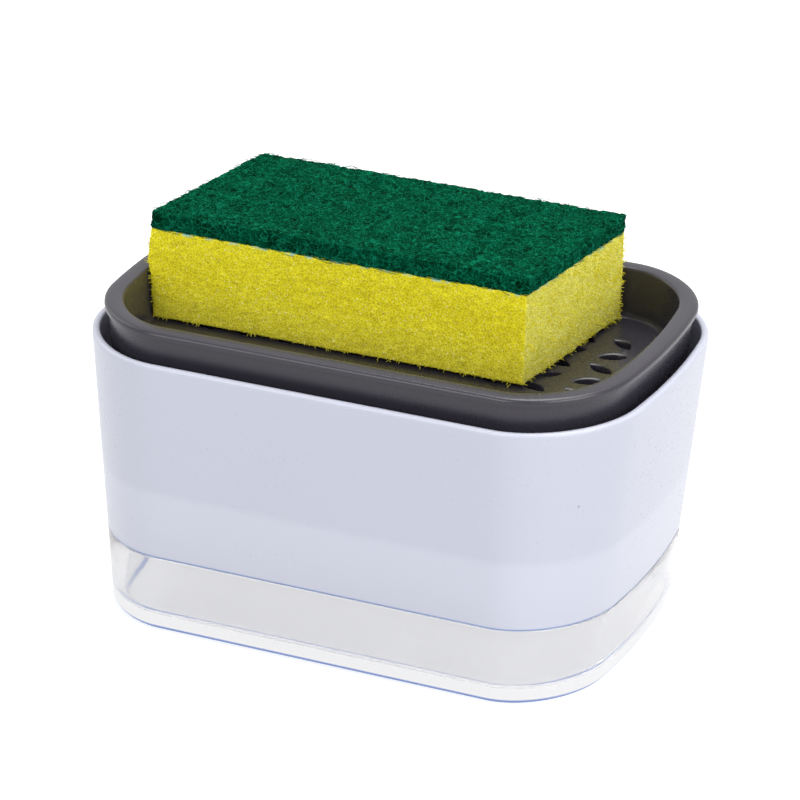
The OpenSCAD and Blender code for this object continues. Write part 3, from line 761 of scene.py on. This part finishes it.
def foam_struts(block):
    """Broken cell walls that stand off the foam's open faces, each a short bent thread."""
    chance = random.Random(STRUT_SEED)
    curve = bpy.data.curves.new("foam_struts", "CURVE")
    curve.dimensions = "3D"
    curve.bevel_depth = STRUT_R * MM
    curve.bevel_resolution = 0
    faces = block.data.polygons
    wanted = STRUTS
    while len(curve.splines) < wanted:
        face = faces[chance.randrange(len(faces))]
        foot, out = face.center, face.normal
        if abs(out.z) > 0.6 or foot.z < (FOAM_Z + 0.3) * MM or foot.z > (PAD_Z - 0.5) * MM:
            continue
        aside = Vector([chance.uniform(-1, 1) for _ in range(3)]) * chance.uniform(0.2, 0.6) * MM
        reach = chance.uniform(0.35, 1.0) * MM
        spline = curve.splines.new("POLY")
        spline.points.add(2)
        ends = (foot - out * 0.15 * MM, foot + out * reach * 0.6 + aside * 0.4, foot + out * reach + aside)
        for point, place in zip(spline.points, ends):
            point.co = (*place, 1)
    piece = bpy.data.objects.new("foam_struts", curve)
    bpy.context.scene.collection.objects.link(piece)
    pick(piece)
    bpy.ops.object.convert(target="MESH")
    piece = named("foam_struts")
    coat(piece, block.data.materials[0])
    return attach(piece, "sponge")


def foam():
    """The foam: a cut block that gives way to the tray's wall and bulges over its rim."""
    piece = sponge_block("yellow_foam", FOAM_Z + 0.1, PAD_Z + 0.2, 0.6)
    space = [("plan", FOAM_Z - 2, WELL_INSET + 1.2), ("plan", 69, WELL_INSET + 1.1),
             ("plan", TRAY_TOP - 1.2, WELL_INSET + 0.3)]
    space += bend("plan", TRAY_TOP - 1.2, WELL_INSET + 0.3, 1.7, -1.7, 4)
    space += [("plan", TRAY_TOP + 1.0, 4.5), ("plan", TRAY_TOP + 2.2, 1), ("plan", TRAY_TOP + 2.3, -15),
              ("plan", PAD_TOP, -15)]
    well = pulled_shell("well_space", space, closed=False)
    modify(piece, "BOOLEAN", operation="INTERSECT", object=well, solver="EXACT")
    bpy.data.objects.remove(well)
    voxel = FOAM_VOXEL
    modify(piece, "REMESH", mode="VOXEL", voxel_size=voxel * MM)
    modify(piece, "SMOOTH", factor=0.5, iterations=3)
    bulged(piece)
    roughened(piece, "CLOUDS", 14, 0.7)
    roughened(piece, "VORONOI", 1.1, 0.5, weight_1=-1.0, weight_2=1.0)
    pick(piece)
    bpy.ops.object.shade_smooth()
    coat(piece, foam_finish())
    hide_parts("sponge_foam")
    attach(piece, "sponge")
    return foam_struts(piece)


def pad():
    """The scouring pad: a ragged slab of tangled fibre."""
    piece = sponge_block("green_pad", PAD_Z - 0.3, PAD_TOP - 0.2, 0.35)
    voxel = PAD_VOXEL
    modify(piece, "REMESH", mode="VOXEL", voxel_size=voxel * MM)
    roughened(piece, "CLOUDS", 12, 0.3, 0.6)
    roughened(piece, "CLOUDS", 1.1, 0.9, 0.62, noise_depth=2)
    pick(piece)
    bpy.ops.object.shade_smooth()
    # The colours are the painted shade, the fibre's own green and the painted highlight.
    fibre = fibre_finish(
        "green scouring fibre", (0.0, 0.012, 0.004), (0.0, 0.066, 0.028), (0.0, 0.18, 0.085), 0.0002
    )
    coat(piece, fibre)
    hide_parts("scouring_pad")
    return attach(piece, "sponge")


def loose_fibres():
    """Loose fibres on the pad's top and along its front and right edges, each a short bent thread."""
    chance = random.Random(FIBRE_SEED)
    curve = bpy.data.curves.new("pad_fibres", "CURVE")
    curve.dimensions = "3D"
    curve.bevel_depth = FIBRE_R * MM
    curve.bevel_resolution = 0
    half = (SPONGE_L / 2, SPONGE_W / 2)
    for n in range(FIBRES):
        length = chance.uniform(2.5, 7)
        course = chance.uniform(0, 2 * math.pi)
        swing = chance.uniform(-0.5, 0.5)
        points = []
        if n % 3:
            x, y = chance.uniform(-half[0], half[0]), chance.uniform(-half[1], half[1])
            z = PAD_TOP + chance.uniform(-0.5, -0.1)
            for k in range(5):
                hump = math.sin(math.pi * k / 4) * 0.25
                points.append((x, y, z + hump))
                x += length / 4 * math.cos(course)
                y += length / 4 * math.sin(course)
                course += swing
        else:
            along = chance.uniform(0, SPONGE_L + SPONGE_W - length)
            z = chance.uniform(PAD_Z, PAD_TOP - 0.3)
            rise = chance.uniform(-0.35, 0.35)
            lowest = PAD_Z + chance.choice((0.3, 0.1, -0.1, -0.4, -0.9))
            for k in range(5):
                s = along + length / 4 * k
                off = -0.15 + math.sin(math.pi * k / 4) * chance.uniform(0.05, 0.35)
                if s < SPONGE_L:
                    x, y = s - half[0], -half[1] - off
                else:
                    x, y = half[0] + off, s - SPONGE_L - half[1]
                points.append((x, y, min(max(z + rise * k, lowest), PAD_TOP - 0.3)))
        points = [p for p in points if abs(p[0]) < half[0] + 0.7 and abs(p[1]) < half[1] + 0.7]
        if len(points) > 2:
            spline = curve.splines.new("POLY")
            spline.points.add(len(points) - 1)
            for point, (x, y, z) in zip(spline.points, points):
                point.co = ((x + y * SPONGE_SKEW + SPONGE_X) * MM, (y + SPONGE_Y) * MM, z * MM, 1)
    piece = bpy.data.objects.new("pad_fibres", curve)
    bpy.context.scene.collection.objects.link(piece)
    pick(piece)
    bpy.ops.object.convert(target="MESH")
    piece = named("pad_fibres")
    # Painted shade, the fibre's own green and painted highlights, as on the pad.
    fibre = fibre_finish("loose green fibre", (0.0, 0.03, 0.013), (0.0, 0.085, 0.038), (0.008, 0.24, 0.13), 0)
    coat(piece, fibre)
    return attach(piece, "sponge")


# The pump


def steel_copy(node, name, body):
    """A round steel piece from its solid: corners merged, empty faces gone and the rest smooth."""
    piece = NODES[node].copy()
    piece.data = NODES[node].data.copy()
    for key in [k for k in piece.keys() if k.startswith("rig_")]:
        del piece[key]
    piece.parent = None
    bpy.context.scene.collection.objects.link(piece)
    pick(piece)
    piece = named(name)
    outward(piece)
    bpy.ops.object.mode_set(mode="EDIT")
    bpy.ops.mesh.select_all(action="SELECT")
    bpy.ops.mesh.dissolve_degenerate(threshold=1e-7)
    bpy.ops.object.mode_set(mode="OBJECT")
    bpy.ops.object.shade_smooth()
    coat(piece, STEEL)
    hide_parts(node)
    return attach(piece, body)


def steel():
    """The valve balls and the return spring, as smooth steel copies of their solids; the spring rides with
    the casing on a mesh of its own.
    """
    steel_copy("inlet_ball", "steel_inlet_ball", "inlet_ball")
    steel_copy("outlet_ball", "steel_outlet_ball", "outlet_ball")
    coil = steel_copy("return_spring", "steel_spring", "casing")
    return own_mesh(coil)


STEEL = steel_finish()


def pump():
    """The pump's moulded pieces, valves and seals keep their solids and get their finishes."""
    white = plastic("white pump plastic", (0.74, 0.75, 0.8), 0.34, mottle=0.04)[0]
    natural = plastic("natural plastic", (0.7, 0.71, 0.68), 0.4, mottle=0.08, Subsurface_Weight=0.15,
                      Subsurface_Scale=0.001)[0]
    tube = plastic("extruded tube plastic", (0.93, 0.95, 0.95), 0.16, mottle=0.03, depth=0.000008,
                   Transmission_Weight=0.85, IOR=1.45)[0]
    rubber = plastic("black rubber", (0.03, 0.03, 0.032), 0.62, mottle=0.2, grain=2.0, depth=0.00002)[0]
    silicone = plastic("clear silicone", (0.82, 0.84, 0.85), 0.38, mottle=0.06, Transmission_Weight=0.5,
                       IOR=1.41)[0]
    finishes = {
        "white_plastic": white, "natural_plastic": natural, "tube_plastic": tube, "dark_rubber": rubber,
        "silicone": silicone, "steel": STEEL,
    }
    for part in frame["record"]["subparts"]:
        if part["material_slot"] in finishes:
            node = NODES[part["node"]]
            node.data.materials.clear()
            node.data.materials.append(finishes[part["material_slot"]])


# Floor, light and camera


def shown(tree, plain, camera, through, mirrored):
    """A strength by the kind of ray: plain light, what the camera sees, and what glass and gloss show."""
    ray = tree.add("ShaderNodeLightPath")
    strengths = {"Is Camera Ray": camera, "Is Glossy Ray": mirrored, "Is Transmission Ray": through}
    strength = plain
    for kind, value in strengths.items():
        strength = tree.spread(ray.outputs[kind], 0, 1, strength, value)
    return strength


def floor():
    """The pale floor, a hair over the tank's underside so that their faces don't coincide."""
    deselect()
    bpy.ops.mesh.primitive_plane_add(size=8, location=(0, 0, 0.03 * MM))
    ground = named("floor")
    material, tree, shader = finish_named("white floor")
    glass = tree.add("ShaderNodeLightPath").outputs["Is Transmission Ray"]
    tree.links.new(tree.tint(glass, (0.6, 0.6, 0.6, 1), (0.05, 0.05, 0.05, 1)), shader.inputs["Base Color"])
    shader.inputs["Roughness"].default_value = 0.7
    shader.inputs["Specular IOR Level"].default_value = 0.2
    shader.inputs["Emission Color"].default_value = (1, 1, 1, 1)
    tree.links.new(shown(tree, 0.0, 0.58, 0.89, 0.4), shader.inputs["Emission Strength"])
    ground.data.materials.append(material)


def lamp(name, place, aim, size, power):
    data = bpy.data.lights.new(name, "AREA")
    data.shape = "RECTANGLE"
    data.size, data.size_y = size
    data.energy = power
    light = bpy.data.objects.new(name, data)
    light.location = place
    light.rotation_euler = (Vector(aim) - Vector(place)).to_track_quat("-Z", "Y").to_euler()
    bpy.context.scene.collection.objects.link(light)


def studio():
    world = bpy.data.worlds.new("studio")
    bpy.context.scene.world = world
    world.use_nodes = True
    tree = Tree(world.node_tree)
    back = world.node_tree.nodes["Background"]
    back.inputs[0].default_value = (1, 1, 1, 1)
    tree.links.new(shown(tree, 0.4, 1.0, 0.8, 0.8), back.inputs[1])
    lamp("front_panel", (-0.25, -1.05, 0.62), (0, 0, 0.05), (0.9, 0.7), 7.0)
    lamp("right_panel", (0.9, -0.25, 0.5), (0, 0, 0.04), (0.7, 0.7), 6.25)
    lamp("left_panel", (-0.9, 0.1, 0.55), (0, 0, 0.04), (0.7, 0.7), 1.8)
    lamp("top_panel", (0.1, 0.25, 1.0), (0, 0, 0.05), (0.8, 0.6), 9.0)


def camera():
    """The photograph's view. The angles are round from the front, up and sideways, and the focal length is in
    picture widths."""
    around, up, lean = math.radians(22.0), math.radians(22.75), math.radians(2.01)
    distance, focal = 0.9204, 4.6025
    target = Vector((0.07, 0.1, 52.68)) * MM
    back = Vector((math.sin(around) * math.cos(up), -math.cos(around) * math.cos(up), math.sin(up)))
    right = Vector((math.cos(around), math.sin(around), 0))
    above = back.cross(right)
    side = right * math.cos(lean) + above * math.sin(lean)
    top = above * math.cos(lean) - right * math.sin(lean)
    data = bpy.data.cameras.new("camera")
    data.sensor_width = 36
    data.sensor_fit = "HORIZONTAL"
    data.lens = 36 * focal
    view = bpy.data.objects.new("camera", data)
    turn = Matrix((side, top, back)).transposed().to_4x4()
    view.matrix_world = Matrix.Translation(target + back * distance) @ turn
    bpy.context.scene.collection.objects.link(view)
    bpy.context.scene.camera = view


camera()
studio()
floor()
casing()
tank()
tray()
foam()
pad()
loose_fibres()
steel()
pump()
bpy.context.scene.view_settings.view_transform = "Standard"
bpy.context.view_layer.update()
